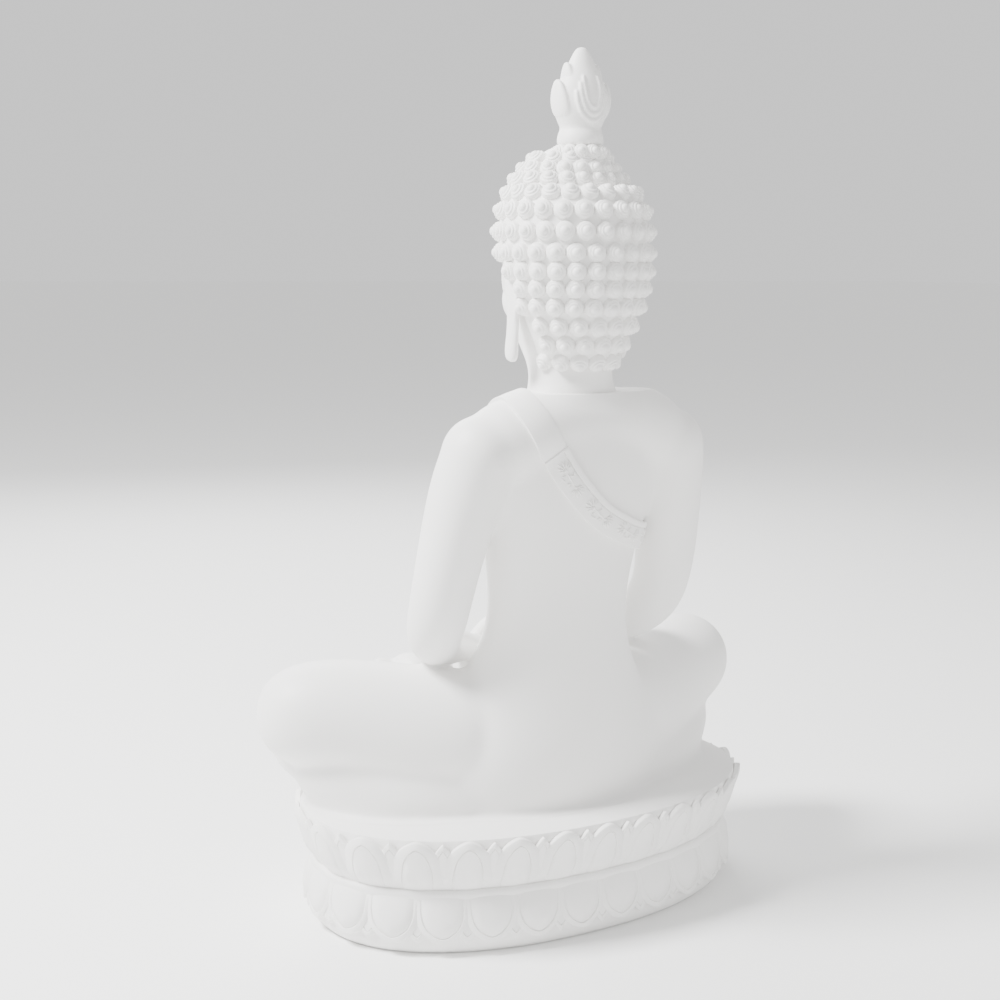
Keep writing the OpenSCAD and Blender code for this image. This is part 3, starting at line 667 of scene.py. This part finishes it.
def onRobe(u, v, w):  # along the run from the shoulder top, across it, out from the skin
    u = u % robeLength
    k = next(k for k in range(steps) if runSums[k + 1] >= u)
    part = (u - runSums[k]) / (runSums[k + 1] - runSums[k])
    place = run[k].lerp(run[(k + 1) % steps], part)
    along = (run[(k + 5) % steps] - run[k - 4]).normalized()
    normal = trunkFaces.find_nearest(place * mm)[1]
    across = along.cross(normal).normalized()
    spot, out = trunkFaces.find_nearest((place - across * v) * mm)[:2]
    return (spot / mm + (out + normal).normalized() * w) * mm


def flatStrip(name, start, end, low, high, bottom, top,
              round_=0.6):  # a long flat bar in the run's own coordinates
    mesh.primitive_cube_add(size=1)
    piece = bpy.context.object
    piece.scale = ((end - start) * mm, (high - low) * mm, (top - bottom) * mm)
    piece.location = ((start + end) / 2 * mm, (low + high) / 2 * mm, (bottom + top) / 2 * mm)
    settle(piece)
    piece.name = piece.data.name = name
    modified(piece, "BEVEL", width=round_ * mm, segments=2, limit_method="ANGLE")
    pickOnly(piece)
    ops.mode_set(mode="EDIT")
    mesh.select_all(action="SELECT")
    mesh.subdivide(number_cuts=1)
    for step in range(1, int((end - start) / 3)):
        mesh.select_all(action="SELECT")
        mesh.bisect(plane_co=((start + step * 3) * mm, 0, 0), plane_no=(1, 0, 0))
    ops.mode_set(mode="OBJECT")
    return piece


def seed(place, direction, size):  # one slim raised petal of the ornament
    twin = copied(seedShape, "seed")
    twin.matrix_world = (Matrix.Translation(Vector(place) * mm) @ Matrix.Rotation(direction, 4, "Z")
                         @ Matrix.Diagonal((*size, 1)))
    return settle(twin)


def palmette(u, v, facing, scale=1.0):  # a fan of slim petals, longest in the middle
    pieces = [seed((u, v, 0), facing, (1.5, 1.5, 1.2))]
    for k in range(-3, 4):
        direction = facing + k * 0.42
        reach = scale * (7.6 - 0.36 * k * k)
        middle = (u + math.cos(direction) * (reach / 2 + 1.3), v + math.sin(direction) * (reach / 2 + 1.3), 0)
        pieces.append(seed(middle, direction, (reach / 2, 0.82, 1.6)))
    return pieces


def scroll(u, v, facing, radius):  # a small hooked curl of the stem
    pieces = []
    for k in range(5):
        angle = facing + k * 0.75
        pieces.append(seed((u + radius * math.cos(angle), v + radius * math.sin(angle), 0),
                           angle + math.pi / 2,
                           (radius * 0.52, 0.65, 1.3)))
    return pieces


hemU, tailU = robeLength * robe["hem"], robeLength * robe["tail"]
half = robe["width"] / 2
strip = joined("robeStrip", [flatStrip("strip", tailU - robeLength + 1, hemU - 1, -half, half, -2,
                                       robe["stripProud"])])
mesh.primitive_uv_sphere_add(segments=8, ring_count=5, radius=mm)
seedShape = bpy.context.object
bandFace = robe["bandProud"]
bandParts = [flatStrip("band", hemU - 1, tailU + 1, -half, half - 5, -2, bandFace),
             flatStrip("bandEdge", hemU - 1, tailU + 1, half - 4.2, half + 0.4, -2, bandFace + 0.5),
             flatStrip("bandBack", hemU - 1, tailU + 1, half - 6, half - 3, -2, bandFace - 1.1, 0.2),
             flatStrip("hem", hemU - 1.6, hemU + 0.6, -half, half + 0.4, -2, bandFace + 0.25, 0.4),
             flatStrip("hem", tailU - 0.6, tailU + 1.6, -half, half + 0.4, -2, bandFace + 0.25, 0.4)]
ornament = []
for number in range(int((tailU - hemU - 8) / robe["pitch"]) + 1):
    u = hemU + 15 + number * robe["pitch"]
    if u + 22 > tailU:
        break
    ornament += palmette(u, 0.2, math.pi * 0.97) + palmette(u + 16, -0.8, -0.06)
    ornament += [seed((u + 8, -0.3, 0), -0.08, (7, 0.8, 1.4))]
    ornament += scroll(u + 5, 3.2, -1.5, 1.7) + scroll(u + 4.4, -3.8, 2.6, 1.9)
    ornament += scroll(u + 11, -4.2, 0.2, 1.5)
bpy.data.objects.remove(seedShape)
for piece in ornament:
    for vertex in piece.data.vertices:
        vertex.co.z += (bandFace - 0.15) * mm
band = joined("sashBand", bandParts + ornament)
for piece in (strip, band):
    for vertex in piece.data.vertices:
        vertex.co = onRobe(*(vertex.co / mm))
print("robe laid on", round(robeLength))

# hands: the right lies in the left, palms up, thumb tips meeting
handSkin = {"voxel": 0.8, "smooth": 6, "thumbsMeetZ": 222, "thumbsMeetY": -58}


def hand(side, palmZ, palmY):  # side 1 is the left hand, its fingers run towards the other side
    parts = [tube("palm", [(side * 44, palmY + 2, palmZ + 1, 13, 11), (side * 34, palmY, palmZ, 15, 10.5),
                           (side * 20, palmY - 1, palmZ - 1, 20, 9),
                           (side * 6, palmY - 1, palmZ - 1.5, 21, 8),
                           (side * -4, palmY - 1, palmZ, 19.5, 6.5)], 24)]
    for k, (reach, thick) in enumerate(((40, 4.6), (46, 4.9), (43, 4.7), (34, 4.1))):
        y = palmY - 15.5 + k * 9.8
        fan = (k - 1.5) * -1.2
        parts.append(tube("finger", [(side * 4, y, palmZ - 0.5, thick * 1.05, thick),
                                     (side * -8, y + fan * 0.3, palmZ + 1, thick, thick),
                                     (side * -(4 + reach * 0.45), y + fan, palmZ + 1.5, thick * 0.95,
                                      thick * 0.95),
                                     (side * -(4 + reach * 0.8), y + fan * 2, palmZ + 3, thick * 0.85,
                                      thick * 0.85),
                                     (side * -(4 + reach), y + fan * 2.3, palmZ + 4.2, thick * 0.5,
                                      thick * 0.5)], 14))
    meetY, rise = handSkin["thumbsMeetY"], handSkin["thumbsMeetZ"] - palmZ
    parts.append(tube("thumb", [(side * 36, palmY - 2, palmZ + 2, 9, 8),
                                (side * 29, palmY - 10, palmZ + 3 + rise * 0.2, 7.8, 7.2),
                                (side * 20, palmY - 15, palmZ + 3 + rise * 0.5, 6.2, 6),
                                (side * 10, meetY, palmZ + 3 + rise * 0.8, 5.6, 5.4),
                                (side * 3.4, meetY, 224, 5, 4.8), (side * 0.4, meetY, 225, 3.4, 3.2)], 14))
    return parts


hands = remeshed(joined("hands", hand(1, 190, -42) + hand(-1, 206, -40)), handSkin["voxel"],
                 handSkin["smooth"])
print("hands shaped", len(hands.data.polygons))

# finishes
def linear(hexColour):
    channels = [int(hexColour[k:k + 2], 16) / 255 for k in (1, 3, 5)]
    return (*[c / 12.92 if c <= 0.04045 else ((c + 0.055) / 1.055) ** 2.4 for c in channels], 1)


# one node with its settings, and values or links for its sockets
def addNode(tree, kind, sockets=None, **settings):
    node = tree.nodes.new(kind)
    for key, value in settings.items():
        setattr(node, key, value)
    for key, value in (sockets or {}).items():
        if isinstance(value, bpy.types.NodeSocket):
            tree.links.new(value, node.inputs[key])
        else:
            node.inputs[key].default_value = value
    return node


def finish(name, colour, shade, grain, roughness, bump, metallic=0.0):
    material = bpy.data.materials.new(name)
    material.use_nodes = True
    tree = material.node_tree
    surface, place = tree.nodes["Principled BSDF"], addNode(tree, "ShaderNodeTexCoord").outputs["Object"]
    cloud = addNode(tree, "ShaderNodeTexNoise", {"Vector": place, "Scale": 14, "Detail": 3, "Roughness": 0.5})
    fine = addNode(tree, "ShaderNodeTexNoise", {"Vector": place, "Scale": 1000 / grain, "Detail": 4,
                                                "Roughness": 0.6})
    mixed = addNode(tree, "ShaderNodeMix", {"Factor": cloud.outputs["Fac"], 6: linear(colour),
                                            7: linear(shade)},
                    data_type="RGBA")
    rough = addNode(tree, "ShaderNodeMapRange", {"Value": fine.outputs["Fac"], "To Min": roughness - 0.06,
                                                 "To Max": roughness + 0.06})
    relief = addNode(tree, "ShaderNodeBump", {"Height": fine.outputs["Fac"], "Strength": 0.35,
                                              "Distance": bump * mm})
    tree.links.new(mixed.outputs[2], surface.inputs["Base Color"])
    tree.links.new(rough.outputs["Result"], surface.inputs["Roughness"])
    tree.links.new(relief.outputs["Normal"], surface.inputs["Normal"])
    surface.inputs["Metallic"].default_value = metallic
    return material


# matt white lacquer sprayed on a sanded cast-resin figure
whiteLacquer = finish("white lacquer on cast resin", "#F6F5F3", "#F1F0EE", 2.5, 0.52, 0.05)
# the same lacquer on the robe castings, a little closer in grain
robeLacquer = finish("white lacquer on robe casting", "#F7F6F4", "#F2F1EF", 2.0, 0.5, 0.05)
# matt white board of the bottom plate
plateSheet = finish("matt white board", "#ECECE9", "#E6E6E3", 1.5, 0.62, 0.08)
# pale closed-cell foam of the feet
padFoam = finish("closed-cell foam", "#E5E5E1", "#DADAD6", 0.8, 0.85, 0.2)
# zinc-plated steel of pins and screws
zincSteel = finish("zinc-plated steel", "#B9BABC", "#A9AAAD", 0.6, 0.36, 0.02, 1.0)
finishes = {"cast_resin": whiteLacquer, "robe_resin": robeLacquer, "base_plate": plateSheet,
            "pad_foam": padFoam,
            "steel": zincSteel}


def dressed(piece, slotName):
    piece.data.materials.clear()
    piece.data.materials.append(finishes[slotName])


figureParts = ((torso, "torso"), (armLeft, "arm_left"), (armRight, "arm_right"), (legs, "legs"),
               (hands, "hands"),
               (lotusLower, "lotus_lower"), (lotusUpper, "lotus_upper"), (head, "head"),
               (hairCap, "hair_cap"),
               (finial, "flame_finial"), (strip, "robe_strip"), (band, "sash_band"))
for piece, node in figureParts:
    slotName = "robe_resin" if piece in (strip, band) else "cast_resin"
    cleaned(piece)
    softened(piece, 50 if piece in (lotusLower, lotusUpper, band) else 35)
    dressed(piece, slotName)
    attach(piece, "root")
    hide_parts(node)
for part in frame["record"]["subparts"]:
    node = frame["nodes"][part["node"]]
    if not node.hide_render:
        dressed(node, part["material_slot"])
print("finishes set")

# floor and light
studio = {"floor": "#FBFBFA", "world": 1.0, "key": 165, "fill": 10, "front": 40}
mesh.primitive_plane_add(size=60)
floor = bpy.context.object
floor.name = "floor"
floor.data.materials.append(finish("studio paper", studio["floor"], studio["floor"], 3, 0.8, 0.02))
for name, place, power, size in (("key", (1.5, -0.3, 2.0), studio["key"], 0.7),
                                 ("fill", (-1.6, 1.5, 0.9), studio["fill"], 1.6),
                                 ("front", (-0.4, -1.8, 1.5), studio["front"], 1.4)):
    bpy.ops.object.light_add(type="AREA", location=place)
    light = bpy.context.object
    light.name = name
    light.data.energy, light.data.size = power, size
    light.rotation_euler = (Vector((0, 0, 0.3)) - Vector(place)).to_track_quat("-Z", "Y").to_euler()
world = bpy.data.worlds.new("world")
bpy.context.scene.world = world
world.use_nodes = True
world.node_tree.nodes["Background"].inputs["Color"].default_value = (1, 1, 1, 1)
world.node_tree.nodes["Background"].inputs["Strength"].default_value = studio["world"]
